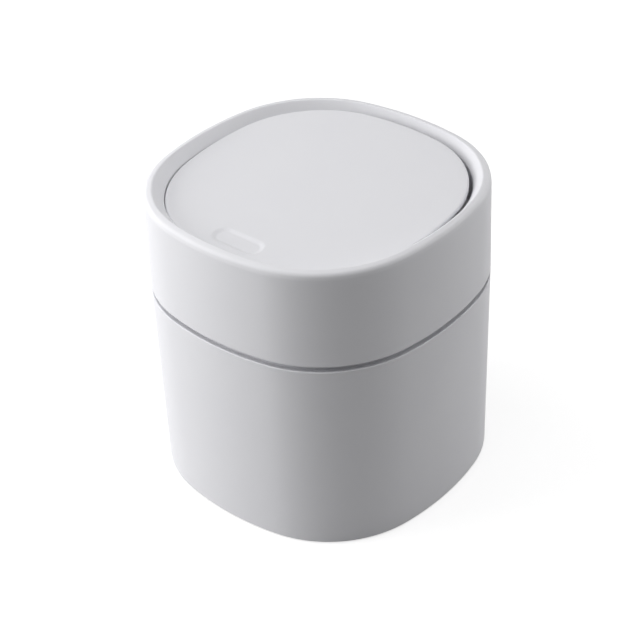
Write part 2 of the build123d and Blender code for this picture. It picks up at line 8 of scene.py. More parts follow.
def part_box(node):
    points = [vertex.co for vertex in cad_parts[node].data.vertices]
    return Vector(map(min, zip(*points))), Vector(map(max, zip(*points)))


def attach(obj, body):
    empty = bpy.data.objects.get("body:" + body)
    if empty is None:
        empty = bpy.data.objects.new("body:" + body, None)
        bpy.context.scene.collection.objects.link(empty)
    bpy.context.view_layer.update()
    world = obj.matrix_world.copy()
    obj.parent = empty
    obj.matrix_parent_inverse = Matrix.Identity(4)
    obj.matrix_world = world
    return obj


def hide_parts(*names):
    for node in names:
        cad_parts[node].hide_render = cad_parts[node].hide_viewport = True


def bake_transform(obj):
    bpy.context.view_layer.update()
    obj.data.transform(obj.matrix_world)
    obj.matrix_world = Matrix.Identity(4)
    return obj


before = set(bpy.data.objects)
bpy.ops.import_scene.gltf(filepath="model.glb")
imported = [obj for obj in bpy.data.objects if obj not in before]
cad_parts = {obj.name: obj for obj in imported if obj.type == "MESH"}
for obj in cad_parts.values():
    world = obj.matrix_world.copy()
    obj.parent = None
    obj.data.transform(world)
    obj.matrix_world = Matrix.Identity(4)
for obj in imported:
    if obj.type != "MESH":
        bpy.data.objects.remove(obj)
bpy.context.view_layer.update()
print("frame loaded")

# The shapes are in mm, and makePiece turns them into metres. The studio at the end is in metres.
mm = 0.001

# Plan of the bin: a square with bowed sides and round corners, and how finely its arcs are drawn
binPlan = {
    "halfWidth": 75.0,
    "sideRadius": 141.0,
    "cornerRadius": 56.8,
    "sideSteps": 26,
    "cornerSteps": 34,
}

# Levels above the floor that more than one piece uses
levels = {
    "base": 0.6,
    "bucketTop": 101.3,
    "collarBottom": 103.8,
    "neckTop": 124.4,
    "ledgeBottom": 126.4,
    "ledgeTop": 128.4,
    "rimTop": 152.4,
}

# Bevel of the pieces built from prisms: its steps, and the angle in degrees past which an edge gets it
edgeBevel = {"segments": 3, "sharperThan": 35.0}


# An sRGB hex code as the linear colour that shaders take
def hexToLinear(code):
    parts = [int(code[i:i + 2], 16) / 255 for i in (1, 3, 5)]
    return [c / 12.92 if c <= 0.04045 else ((c + 0.055) / 1.055) ** 2.4 for c in parts] + [1.0]


# One shader node with its settings. An input is a plain value or the socket that feeds it.
def addNode(tree, kind, settings=None, inputs=None):
    node = tree.nodes.new(kind)
    for name, value in (settings or {}).items():
        setattr(node, name, value)
    for name, value in (inputs or {}).items():
        if isinstance(value, bpy.types.NodeSocket):
            tree.links.new(value, node.inputs[name])
        else:
            node.inputs[name].default_value = value
    return node


# Closed plan outline. Each quarter is a side arc, centred on the axis, then a corner arc, centred on the
# diagonal, and the two share their tangent. An inset shortens both radii, so the outline stays parallel,
# and ease is added to the corner's radius. Rows of insets give rows of points.
def planOutline(inset, ease):
    inset, ease = np.broadcast_arrays(np.atleast_1d(inset).astype(float), ease)
    inset, ease = inset[:, None], ease[:, None]
    sideCentre = binPlan["halfWidth"] - binPlan["sideRadius"]
    reach = binPlan["sideRadius"] - binPlan["cornerRadius"] - ease
    cornerCentre = (sideCentre + np.sqrt(2 * reach**2 - sideCentre**2)) / 2
    halfTurn = np.arctan2(cornerCentre, cornerCentre - sideCentre)
    sideShare = np.arange(binPlan["sideSteps"]) / binPlan["sideSteps"]
    cornerShare = np.arange(binPlan["cornerSteps"]) / binPlan["cornerSteps"]
    sideAngle = halfTurn * (2 * sideShare - 1)
    cornerAngle = halfTurn + (math.pi / 2 - 2 * halfTurn) * cornerShare
    sideLength = binPlan["sideRadius"] - inset
    cornerLength = binPlan["cornerRadius"] - inset + ease
    x = np.hstack([sideCentre + sideLength * np.cos(sideAngle),
                   cornerCentre + cornerLength * np.cos(cornerAngle)])
    y = np.hstack([sideLength * np.sin(sideAngle), cornerCentre + cornerLength * np.sin(cornerAngle)])
    return np.hstack([x, -y, -x, y]), np.hstack([y, x, -y, -x])


# Profile through corners given as (inset, height, ease, radius). Each corner becomes an arc that touches
# both of its legs. Two arcs may fill most of the leg between them, and both shrink alike where they would
# fill more. On a roomy leg a row is added close to each end of the arc, so that flat walls shade flat, and
# long legs get rows in between.
def roundedProfile(corners, closed=False, arcSteps=7, mostOfLeg=0.96, hold=0.25, longest=9.0):
    corners = np.array(corners, float)
    legs = np.roll(corners[:, :3], -1, axis=0) - corners[:, :3]
    lengths = np.linalg.norm(legs[:, :2], axis=1)
    units = legs / lengths[:, None]
    bends = np.arccos(np.clip(-np.sum(units[:, :2] * np.roll(units[:, :2], 1, axis=0), axis=1), -1, 1))
    touches = np.where(corners[:, 3] > 0, corners[:, 3] / np.tan(bends / 2), 0)
    if not closed:
        touches[[0, -1]] = 0
    shares = np.minimum(1, mostOfLeg * lengths / np.maximum(touches + np.roll(touches, -1), 1e-9))
    touches = touches * np.minimum(shares, np.roll(shares, 1))
    rows = []
    for index, (touch, bend) in enumerate(zip(touches, bends)):
        here = corners[index, :3]
        if touch <= 0:
            rows.append(here[None])
            continue
        backUnit, aheadUnit = -units[index - 1], units[index]
        halfway = backUnit[:2] + aheadUnit[:2]
        radius = touch * math.tan(bend / 2)
        middle = here[:2] + halfway * radius / math.sin(bend / 2) / np.linalg.norm(halfway)
        start, end = here + backUnit * touch, here + aheadUnit * touch
        share = np.linspace(0, 1, arcSteps + 1)[:, None]
        sweep = math.pi - bend
        first, last = start[:2] - middle, end[:2] - middle
        spoke = (first * np.sin((1 - share) * sweep) + last * np.sin(share * sweep)) / math.sin(sweep)
        ease = start[2] + (end[2] - start[2]) * share
        roomyLeg = 2.5 * touch + 2 * hold
        if lengths[index - 1] > roomyLeg:
            rows.append((start + backUnit * hold)[None])
        rows.append(np.hstack([middle + spoke, ease]))
        if lengths[index] > roomyLeg:
            rows.append((end + aheadUnit * hold)[None])
    line = np.vstack(rows)
    if closed:
        line = np.vstack([line, line[:1]])
    gaps = np.linalg.norm(np.diff(line[:, :2], axis=0), axis=1)
    pieces = np.maximum(1, np.ceil(gaps / longest).astype(int))
    starts = np.repeat(np.arange(len(gaps)), pieces)
    share = (np.arange(pieces.sum()) - np.repeat(np.cumsum(pieces) - pieces, pieces)) / pieces[starts]
    filled = line[starts] + (line[starts + 1] - line[starts]) * share[:, None]
    return filled if closed else np.vstack([filled, line[-1:]])


# A profile of (inset, height, ease) rows carried round the plan outline, as a grid of points
def carriedRound(profile):
    x, y = planOutline(profile[:, 0], profile[:, 2])
    return np.dstack([x, y, np.repeat(profile[:, 1][:, None], x.shape[1], axis=1)])


# Mesh data of a grid that closes along its columns: vertex (row, column), and one quad between each four.
# It can also close along its rows, or end in a pole, which is one vertex that closes the last ring.
def gridMesh(grid, closedRows=False, startPole=None, endPole=None):
    rows, columns = grid.shape[:2]
    points = grid.reshape(-1, 3)
    row = np.arange(rows if closedRows else rows - 1)[:, None]
    column = np.arange(columns)[None, :]
    nextRow, nextColumn = (row + 1) % rows, (column + 1) % columns
    quads = np.stack([row * columns + column, row * columns + nextColumn,
                      nextRow * columns + nextColumn, nextRow * columns + column], axis=-1)
    faces = quads.reshape(-1, 4).tolist()
    around, after = column[0], nextColumn[0]
    if startPole is not None:
        points = np.vstack([points, startPole])
        pole = np.full(columns, len(points) - 1)
        faces += np.stack([pole, after, around], axis=1).tolist()
    if endPole is not None:
        points = np.vstack([points, endPole])
        pole = np.full(columns, len(points) - 1)
        last = (rows - 1) * columns
        faces += np.stack([pole, last + around, last + after], axis=1).tolist()
    return points, faces


# Prism on a closed polygon: the same points at two distances along a direction
def prismMesh(polygon, along, start, end):
    polygon, along = np.asarray(polygon, float), np.asarray(along, float)
    count = len(polygon)
    points = np.vstack([polygon + along * start, polygon + along * end])
    around = np.arange(count)
    after = (around + 1) % count
    walls = np.stack([around, after, after + count, around + count], axis=1)
    return points, [around[::-1].tolist(), (around + count).tolist()] + walls.tolist()


# Lathed solid: radius and distance along the axis for each row, turned in equal steps. A shape function of
# the place across the axis may change the distances.
def lathedMesh(profile, origin, axis, steps=40, shape=None):
    profile = np.array(profile, float)
    axis = np.array(Vector(axis).normalized())
    across = np.array(Vector(axis).orthogonal().normalized())
    other = np.cross(axis, across)
    angle = np.arange(steps) * 2 * math.pi / steps
    radius, height = profile[:, :1], np.repeat(profile[:, 1:2], steps, axis=1)
    x, y = radius * np.cos(angle), radius * np.sin(angle)
    if shape is not None:
        height = shape(x, y, height)
    grid = np.array(origin) + x[..., None] * across + y[..., None] * other + height[..., None] * axis
    return gridMesh(grid, startPole=grid[0].mean(0), endPole=grid[-1].mean(0))


# Wire: a ring of points round each point of a path, square to the path there. Each ring starts from a slanted
# direction that no path here runs along.
def wireMesh(path, radius, sides=12, slanted=(1.0, 0.31, 0.17)):
    along = np.gradient(path, axis=0)
    along /= np.linalg.norm(along, axis=1)[:, None]
    across = np.cross(along, np.array(slanted))
    across /= np.linalg.norm(across, axis=1)[:, None]
    other = np.cross(along, across)
    angle = (np.arange(sides) * 2 * math.pi / sides)[None, :, None]
    grid = path[:, None] + radius * (np.cos(angle) * across[:, None] + np.sin(angle) * other[:, None])
    return gridMesh(grid, startPole=path[0], endPole=path[-1])


# One object out of several (points, faces) parts, at the origin. It rides on a body, unless that is None, and
# stands for CAD nodes.
def makePiece(name, parts, body, material, stands, bevel=0.0, smooth=True):
    points, faces, offset = [], [], 0
    for partPoints, partFaces in parts:
        points.append(np.asarray(partPoints) * mm)
        faces += [[corner + offset for corner in face] for face in partFaces]
        offset += len(partPoints)
    mesh = bpy.data.meshes.new(name)
    mesh.from_pydata(np.vstack(points).tolist(), [], faces)
    mesh.validate()
    mesh.polygons.foreach_set("use_smooth", [smooth] * len(mesh.polygons))
    mesh.update()
    piece = bpy.data.objects.new(name, mesh)
    bpy.context.scene.collection.objects.link(piece)
    piece.data.materials.append(material)
    if bevel:
        edge = piece.modifiers.new("moulded edges", "BEVEL")
        edge.width = bevel * mm
        edge.segments = edgeBevel["segments"]
        edge.limit_method = "ANGLE"
        edge.angle_limit = math.radians(edgeBevel["sharperThan"])
        edge.harden_normals = True
    if body:
        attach(piece, body)
    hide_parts(*stands)
    return piece


# Polypropylene, injection moulded against a spark-eroded tool: matt white, with a grain too fine to count
# and a soft, low gloss. The grain is 0.45 mm here, coarser than the real 0.1 mm, so that it shows at all, and
# the sheen is below 0.5 because its tiny walls shade each other where the surface is seen edge on.
polypropylene = {
    "tone": "#E9E9EC",
    "flowTone": "#E6E6EA",
    "flowSize": 38.0,
    "grainSize": 0.45,
    "grainHeight": 0.012,
    "glossSize": 9.0,
    "roughness": (0.5, 0.6),
    "ior": 1.49,
    "sheen": 0.35,
}


# Moulded plastic or rubber: a broad noise tints it as the melt's flow does, a smaller one varies the gloss, and
# a fine one raises the grain
def mouldedPlastic(name, look):
    material = bpy.data.materials.new(name)
    material.use_nodes = True
    tree = material.node_tree
    shader = tree.nodes["Principled BSDF"]
    place = addNode(tree, "ShaderNodeTexCoord").outputs["Object"]
    flow = addNode(tree, "ShaderNodeTexNoise", inputs={
        "Vector": place, "Scale": 1 / (look["flowSize"] * mm), "Detail": 2.0})
    tint = addNode(tree, "ShaderNodeMix", {"data_type": "RGBA"}, {
        0: flow.outputs["Fac"], 6: hexToLinear(look["tone"]), 7: hexToLinear(look["flowTone"])})
    gloss = addNode(tree, "ShaderNodeTexNoise", inputs={
        "Vector": place, "Scale": 1 / (look["glossSize"] * mm), "Detail": 3.0})
    rough = addNode(tree, "ShaderNodeMapRange", inputs={
        "Value": gloss.outputs["Fac"], "From Min": 0.3, "From Max": 0.7,
        "To Min": look["roughness"][0], "To Max": look["roughness"][1]})
    grain = addNode(tree, "ShaderNodeTexNoise", inputs={
        "Vector": place, "Scale": 1 / (look["grainSize"] * mm), "Detail": 2.0, "Roughness": 0.6})
    bump = addNode(tree, "ShaderNodeBump", inputs={
        "Height": grain.outputs["Fac"], "Distance": look["grainHeight"] * mm, "Strength": 0.6})
    tree.links.new(tint.outputs[2], shader.inputs["Base Color"])
    tree.links.new(rough.outputs["Result"], shader.inputs["Roughness"])
    tree.links.new(bump.outputs["Normal"], shader.inputs["Normal"])
    shader.inputs["IOR"].default_value = look["ior"]
    shader.inputs["Specular IOR Level"].default_value = look["sheen"]
    return material


shellPlastic = mouldedPlastic("white polypropylene, moulded matt", polypropylene)

# The same plastic from a smoother tool, for what the lid hides: less grain and a little more gloss
innerPlastic = mouldedPlastic("white polypropylene, moulded smooth", {
    **polypropylene, "tone": "#E7E7EA", "flowTone": "#E3E3E7",
    "grainHeight": 0.006, "roughness": (0.36, 0.46)})

# Acetal for the latch: denser and slicker than the shell, a little greyer
latchPlastic = mouldedPlastic("grey acetal, moulded", {
    **polypropylene, "tone": "#D9D9DB", "flowTone": "#D2D2D5", "flowSize": 14.0,
    "grainHeight": 0.004, "roughness": (0.3, 0.4), "ior": 1.48})

# Thermoplastic rubber feet and buffers: soft grey, no gloss
rubber = mouldedPlastic("grey rubber, moulded", {
    **polypropylene, "tone": "#8E8F92", "flowTone": "#85868A", "flowSize": 6.0,
    "grainSize": 0.3, "grainHeight": 0.02, "roughness": (0.7, 0.85), "ior": 1.52})

# Stainless steel drawn to a pin: bright, with fine lines along its length that stretch the highlights
drawnSteel = {
    "tone": "#C3C2C0",
    "roughness": (0.2, 0.34),
    "lineSize": 0.25,
    "lineDepth": 0.004,
    "stretch": (0.1, 1.0, 1.0),
}


# Drawn, plated or ground metal: one fine noise, stretched along an axis, gives both the gloss and the lines
def metalFinish(name, look):
    material = bpy.data.materials.new(name)
    material.use_nodes = True
    tree = material.node_tree
    shader = tree.nodes["Principled BSDF"]
    shader.inputs["Base Color"].default_value = hexToLinear(look["tone"])
    shader.inputs["Metallic"].default_value = 1.0
    place = addNode(tree, "ShaderNodeTexCoord").outputs["Object"]
    turned = addNode(tree, "ShaderNodeMapping", inputs={"Vector": place, "Scale": look["stretch"]})
    lines = addNode(tree, "ShaderNodeTexNoise", inputs={
        "Vector": turned.outputs["Vector"], "Scale": 1 / (look["lineSize"] * mm), "Detail": 3.0})
    rough = addNode(tree, "ShaderNodeMapRange", inputs={
        "Value": lines.outputs["Fac"], "From Min": 0.3, "From Max": 0.7,
        "To Min": look["roughness"][0], "To Max": look["roughness"][1]})
    bump = addNode(tree, "ShaderNodeBump", inputs={
        "Height": lines.outputs["Fac"], "Distance": look["lineDepth"] * mm, "Strength": 0.4})
    tree.links.new(rough.outputs["Result"], shader.inputs["Roughness"])
    tree.links.new(bump.outputs["Normal"], shader.inputs["Normal"])
    return material


# Spring wire is duller than the pins, zinc plate is bluish and satin, and nickel is warmer and the brightest
unstretched = (1.0, 1.0, 1.0)
pinSteel = metalFinish("stainless steel, drawn", drawnSteel)
springSteel = metalFinish("spring steel, drawn wire", {
    **drawnSteel, "tone": "#B9B8B6", "roughness": (0.24, 0.38), "lineSize": 0.2, "stretch": unstretched})
zincSteel = metalFinish("steel, zinc plated", {
    **drawnSteel, "tone": "#B8BCC0", "roughness": (0.28, 0.42), "lineSize": 0.4, "stretch": unstretched})
nickel = metalFinish("magnet, nickel plated", {
    **drawnSteel, "tone": "#C9C5BE", "roughness": (0.14, 0.24), "lineSize": 0.5, "stretch": unstretched})
print("materials made")

# Bucket: from the middle of its underside out to the base edge, up the drafted wall, over the shoulder, the
# shadow groove under the collar and the neck, and down the inside to the middle of the floor
bucketShape = {
    "nearMiddle": 54.0,
    "recessInset": 24.0,
    "recessDepth": 0.8,
    "baseInset": 0.8,
    "baseRadius": 1.0,
    "wall": 2.0,
    "floorTop": 3.2,
    "floorRadius": 5.0,
    "shoulderRadius": 0.45,
    "shoulderDepth": 2.0,
    "shoulderSlope": 3.4,
    "grooveInset": 3.6,
    "grooveWall": 1.6,
    "grooveRise": 1.0,
    "grooveFall": 1.4,
    "neckInset": 2.4,
    "neckTopInset": 2.81,
    "neckWall": 1.8,
    "neckRadius": 0.6,
    "fineRadius": 0.3,
    "edgeRadius": 0.4,
    "stepRadius": 0.8,
}


# The bucket's profile, carried round. Its first and last rows each close at a point on the axis.
def makeBucket(b):
    base, top, neckTop = levels["base"], levels["bucketTop"], levels["neckTop"]
    recessTop = base + b["recessDepth"]
    grooveTop = levels["collarBottom"] + b["grooveRise"]
    grooveStep = b["grooveInset"] - b["neckInset"]
    grooveBack = b["grooveInset"] + b["grooveWall"]
    insideTop = top - b["shoulderDepth"]
    profile = roundedProfile([
        (b["nearMiddle"], recessTop, 0, 0),
        (b["recessInset"], recessTop, 0, b["edgeRadius"]),
        (b["recessInset"], base, 0, b["fineRadius"]),
        (b["baseInset"], base, 0, b["baseRadius"]),
        (0, top, 0, b["shoulderRadius"]),
        (b["grooveInset"], top - b["grooveFall"], 0, b["fineRadius"]),
        (b["grooveInset"], grooveTop, 0, b["fineRadius"]),
        (b["neckInset"], grooveTop + grooveStep, 0, b["fineRadius"]),
        (b["neckTopInset"], neckTop, 0, b["neckRadius"]),
        (b["neckTopInset"] + b["neckWall"], neckTop, 0, b["edgeRadius"]),
        (b["neckInset"] + b["neckWall"], grooveTop + 3 * grooveStep, 0, b["stepRadius"]),
        (grooveBack, grooveTop + grooveStep, 0, b["stepRadius"]),
        (grooveBack, insideTop, 0, b["stepRadius"]),
        (b["wall"], insideTop - b["shoulderSlope"], 0, b["stepRadius"]),
        (b["baseInset"] + b["wall"], b["floorTop"], 0, b["floorRadius"]),
        (b["nearMiddle"], b["floorTop"], 0, 0),
    ])
    mesh = gridMesh(carriedRound(profile), startPole=(0, 0, recessTop), endPole=(0, 0, b["floorTop"]))
    makePiece("bucketShell", [mesh], "bucket", shellPlastic, ["bucket"])


makeBucket(bucketShape)
print("bucket made")

# Collar: skirt, rolled rim, sloped throat and ledge as one closed profile
collarShape = {
    "hemRadius": 0.45,
    "wall": 2.0,
    "shoulderInset": 0.6,
    "shoulderDepth": 3.4,
    "shoulderRadius": 6.0,
    "crestInset": 1.2,
    "crestDrop": 0.8,
    "crestRadius": 2.3,
    "lipInset": 4.6,
    "lipRadius": 1.1,
    "lipEase": 1.0,
    "bendDepth": 5.6,
    "bendInset": 8.8,
    "bendRadius": 2.0,
    "throatStretch": 1.8,
    "throatWall": 1.8,
    "ease": 5.0,
    "footInset": 8.4,
    "footRadius": 0.5,
    "ledgeInset": 15.0,
    "ledgeRadius": 0.4,
    "insideRadius": 0.6,
}

# Shelves on the ledge, for the hinge at the rear and the latch at the front, and the hinge's lugs and posts.
# They end just inside the ledge's faces, and parts that join run a little into each other.
shelfShape = {
    "outerInset": 14.8,
    "insideFaces": 0.02,
    "rearEdge": 42.1,
    "rearHalf": 46.0,
    "frontEdge": 44.0,
    "frontHalf": 27.0,
    "ribWidth": 1.6,
    "ribHeight": 4.0,
    "latchOffset": 50.0,
    "bossOffset": 10.5,
    "bossRadius": 2.4,
    "bossLength": 4.0,
    "bossMiddle": 0.5,
    "edgeSoftness": 0.25,
}
hingeShape = {
    "y": 46.115,
    "z": 145.108,
    "lugRadius": 1.95,
    "lugFoot": 8.0,
    "lugStarts": (30.0, 40.0),
    "lugWidth": 3.0,
    "lugRoot": 1.0,
    "postOverlap": 0.1,
    "postEnd": 35.9,
    "postRoot": 0.5,
    "postWidth": 2.4,
    "postTop": 142.75,
}


# Points of a circle in the YZ plane at x = 0
def circleYz(y, z, radius, steps=28):
    angle = np.arange(steps) * 2 * math.pi / steps
    return np.stack([np.zeros(steps), y + radius * np.cos(angle), z + radius * np.sin(angle)], axis=1)


# Convex outline of points in the YZ plane, anticlockwise seen from +X
def hullYz(points):
    points = np.asarray(points, float)
    order = convex_hull_2d([Vector((p[1], p[2])) for p in points])
    hull = points[order]
    area = np.sum(hull[:, 1] * np.roll(hull[:, 2], -1) - hull[:, 2] * np.roll(hull[:, 1], -1))
    return hull if area > 0 else hull[::-1]


# Rectangular block as a prism along Z
def blockMesh(low, high):
    polygon = [(low[0], low[1], 0), (high[0], low[1], 0), (high[0], high[1], 0), (low[0], high[1], 0)]
    return prismMesh(polygon, (0, 0, 1), low[2], high[2])


# The collar's closed profile, carried round. Its throat is drawn out to the rear, where the lid's edge swings
# past it: y grows in proportion there, from nothing at the lip to the full stretch at the bend.
def makeCollar(c):
    bottom, rim = levels["collarBottom"], levels["rimTop"]
    shoulder, bend = rim - c["shoulderDepth"], rim - c["bendDepth"]
    draft = c["shoulderInset"] / (shoulder - bottom)
    profile = roundedProfile([
        (0, bottom, 0, c["hemRadius"]),
        (c["shoulderInset"], shoulder, 0, c["shoulderRadius"]),
        (c["crestInset"], rim - c["crestDrop"], 0, c["crestRadius"]),
        (c["lipInset"], rim, c["lipEase"], c["lipRadius"]),
        (c["bendInset"], bend, c["ease"], c["bendRadius"]),
        (c["footInset"], levels["ledgeTop"], c["ease"], c["footRadius"]),
        (c["ledgeInset"], levels["ledgeTop"], c["ease"], c["ledgeRadius"]),
        (c["ledgeInset"], levels["ledgeBottom"], c["ease"], c["ledgeRadius"]),
        (c["footInset"] - c["throatWall"], levels["ledgeBottom"], c["ease"], c["ledgeRadius"]),
        (c["bendInset"] - c["throatWall"], bend, c["ease"], c["insideRadius"]),
        (c["wall"] + draft * (bend - bottom), bend, 0, c["insideRadius"]),
        (c["wall"], bottom, 0, c["hemRadius"]),
    ], closed=True, arcSteps=9)
    grid = carriedRound(profile)
    inThroat = np.clip((profile[:, 0] - c["lipInset"]) / (c["bendInset"] - c["lipInset"]), 0, 1)[:, None]
    inRear = grid[..., 1] > 0
    grid[..., 1] *= 1 + inRear * inThroat * c["throatStretch"] / (binPlan["halfWidth"] - c["bendInset"])
    makePiece("collarShell", [gridMesh(grid, closedRows=True)], "cover", shellPlastic, ["collar"])


# The part of the plan outline beyond a line across the bin, closed by that line
def shelfOutline(inset, edge, half, side):
    x, y = planOutline(inset, collarShape["ease"])
    beyond = side * y[0] > edge
    x, y = np.clip(x[0][beyond], -half, half), y[0][beyond]
    order = np.argsort(np.arctan2(y, x))
    x, y = x[order], y[order]
    ends = np.array([[-side * half, side * edge, 0], [side * half, side * edge, 0]])
    return np.vstack([np.stack([x, y, np.zeros(len(x))], axis=1), ends])


# Each shelf is a prism on its outline, with a rib below its free edge. A lug is a prism on the hull of a circle
# round the pin and a foot in the shelf. A post stands under each spring, and a boss takes each latch screw.
def makeShelves(s, h):
    up, across = (0, 0, 1), (1, 0, 0)
    top, bottom = levels["ledgeTop"] - s["insideFaces"], levels["ledgeBottom"] + s["insideFaces"]
    ribBottom = bottom - s["ribHeight"]
    lugEnd = h["lugStarts"][1] + h["lugWidth"]
    parts = [
        prismMesh(shelfOutline(s["outerInset"], s["rearEdge"], s["rearHalf"], 1), up, bottom, top),
        prismMesh(shelfOutline(s["outerInset"], s["frontEdge"], s["frontHalf"], -1), up, bottom, top),
        blockMesh((-lugEnd, s["rearEdge"], ribBottom), (lugEnd, s["rearEdge"] + s["ribWidth"], bottom)),
        blockMesh((-s["frontHalf"], -s["frontEdge"] - s["ribWidth"], ribBottom),
                  (s["frontHalf"], -s["frontEdge"], bottom)),
    ]
    foot = np.array([(0, h["y"] + side * h["lugFoot"] / 2, level)
                     for side in (-1, 1) for level in (top - h["lugRoot"], top)])
    lug = hullYz(np.vstack([circleYz(h["y"], h["z"], h["lugRadius"]), foot]))
    postStart = h["lugStarts"][0] + h["lugWidth"] - h["postOverlap"]
    boss = [(s["bossMiddle"], 0), (s["bossRadius"], 0), (s["bossRadius"], s["bossLength"])]
    for side in (-1, 1):
        for start in h["lugStarts"]:
            parts.append(prismMesh(lug, across, *sorted((side * start, side * (start + h["lugWidth"])))))
        post = sorted((side * postStart, side * h["postEnd"]))
        parts.append(blockMesh((post[0], h["y"] - h["postWidth"] / 2, top - h["postRoot"]),
                               (post[1], h["y"] + h["postWidth"] / 2, h["postTop"])))
        bossFoot = (side * s["bossOffset"], -s["latchOffset"], bottom - s["bossLength"])
        parts.append(lathedMesh(boss, bossFoot, up))
    makePiece("collarShelves", parts, "cover", shellPlastic, ["collar"],
              bevel=s["edgeSoftness"], smooth=False)


makeCollar(collarShape)
makeShelves(shelfShape, hingeShape)
print("collar made")

# Lid: a flat skin whose plane leans 2 degrees down to the press mark, with the oblong mark pressed into it.
# Its crown is how far the skin's face stands above the plane that the pan and the arms are set from.
lidShape = {
    "planeHeight": 147.6,
    "crown": 0.5,
    "leanDegrees": 2.0,
    "inset": 9.5,
    "ease": 5.0,
    "forward": 0.6,
    "thickness": 1.8,
    "edgeRadius": 0.9,
    "underRadius": 0.3,
    "markOffset": 54.6,
    "markLength": 28.4,
    "markWidth": 12.4,
    "markDepth": 0.9,
    "markSoftness": 3.0,
    "markMargin": 0.3,
    "markSteps": 18,
    "edgeSteps": 6,
}

# Lid pan: the shell under the skin, its arms to the pins, and the tabs that the springs press up
panShape = {
    "nearMiddle": 50.0,
    "poleOffset": -10.0,
    "inset": 13.0,
    "draft": 2.5,
    "depth": 9.0,
    "intoSkin": 0.1,
    "rear": 38.0,
    "rearCorner": 5.0,
    "rearMost": 30.0,
    "floorRadius": 2.4,
    "wall": 1.6,
    "rootWidth": 2.5,
    "rootDepth": 6.0,
    "knuckleStart": 36.9,
    "knuckleWidth": 2.8,
    "tabInner": 33.2,
    "tabBottom": 5.2,
    "tabRear": 42.1,
    "edgeSoftness": 0.2,
}


# Points from the lid's own axes, X across, Y to the hinge and Z off its face, to the bin's: turned about X by
# the lean and raised to the lid's plane
def fromLid(points):
    lean = math.radians(lidShape["leanDegrees"])
    points = np.asarray(points, float)
    x, y, z = points[..., 0], points[..., 1], points[..., 2]
    return np.stack([x, y * math.cos(lean) - z * math.sin(lean),
                     y * math.sin(lean) + z * math.cos(lean) + lidShape["planeHeight"]], axis=-1)


# Lid skin. Its columns are rays from the middle of the mark to the lid's outline. Its rows are, from below:
# the flat underside, the rounded edge, rings that shrink evenly from the outline to the mark, then rings
# at set distances from the mark's outline, whose depth falls along a smooth step.
def makeLidSkin(s):
    edgeTurn = np.linspace(0, math.pi / 2, s["edgeSteps"] + 1)
    underInset = np.array([60.0, 30.0, 12.0, 3.0, 1.0, 0.4])  # rings of the flat underside
    edgeInset = np.concatenate([underInset, s["underRadius"] * (1 - np.sin(edgeTurn)),
                                s["edgeRadius"] * (1 - np.cos(edgeTurn))])
    edgeHeight = np.concatenate([np.full(len(underInset), -s["thickness"]),
                                 -s["thickness"] + s["underRadius"] * (1 - np.cos(edgeTurn)),
                                 s["crown"] + s["edgeRadius"] * (np.sin(edgeTurn) - 1)])
    x, y = planOutline(s["inset"] + edgeInset, s["ease"])
    edge = np.dstack([x, y - s["forward"], np.repeat(edgeHeight[:, None], x.shape[1], axis=1)])
    rimRing = edge[-1, :, :2]
    centre = np.array([0, -s["markOffset"]])
    away = rimRing - centre
    unit = away / np.linalg.norm(away, axis=1)[:, None]

    # Where each ray meets the mark's outline: its straight side, or else its round end
    half, radius = (s["markLength"] - s["markWidth"]) / 2, s["markWidth"] / 2
    toSide = radius / np.maximum(np.abs(unit[:, 1]), 1e-9)
    toEnd = half * np.abs(unit[:, 0]) + np.sqrt(np.maximum(radius**2 - (half * unit[:, 1])**2, 0))
    onSide = toSide * np.abs(unit[:, 0]) <= half
    ring = unit * np.where(onSide, toSide, toEnd)[:, None]
    core = np.stack([np.clip(ring[:, 0], -half, half), np.zeros(len(ring))], axis=1)
    normal = (ring - core) / radius

    # Shares of the way out to the lid's edge, mm outside the mark's outline, and shares of the innermost ring
    outShare = np.array([0.96, 0.88, 0.74, 0.58, 0.42, 0.28, 0.16, 0.08, 0.035, 0.012])[:, None, None]
    slope = np.linspace(s["markMargin"], -s["markSoftness"] - s["markMargin"], s["markSteps"] + 1)
    offset = np.concatenate([[2.0, 1.0], slope, [-4.0, -5.0]])
    inShare = np.array([0.66, 0.33])[:, None, None]
    rings = core + normal * (radius + offset[:, None, None]) + centre
    between = rings[0] + (rimRing - rings[0]) * outShare
    inner = centre + (rings[-1] - centre) * inShare
    step = np.clip(-offset / s["markSoftness"], 0, 1)
    depth = -s["markDepth"] * step**2 * (3 - 2 * step)
    flatRows = np.vstack([between, rings, inner])
    height = s["crown"] + np.concatenate([np.zeros(len(between)), depth, np.full(len(inner), -s["markDepth"])])
    top = np.dstack([flatRows, np.repeat(height[:, None], flatRows.shape[1], axis=1)])
    mesh = gridMesh(fromLid(np.vstack([edge, top])), startPole=fromLid((0, -s["forward"], -s["thickness"])),
                    endPole=fromLid((*centre, s["crown"] - s["markDepth"])))
    makePiece("lidSkin", [mesh], "lid", shellPlastic, ["lid_panel"])


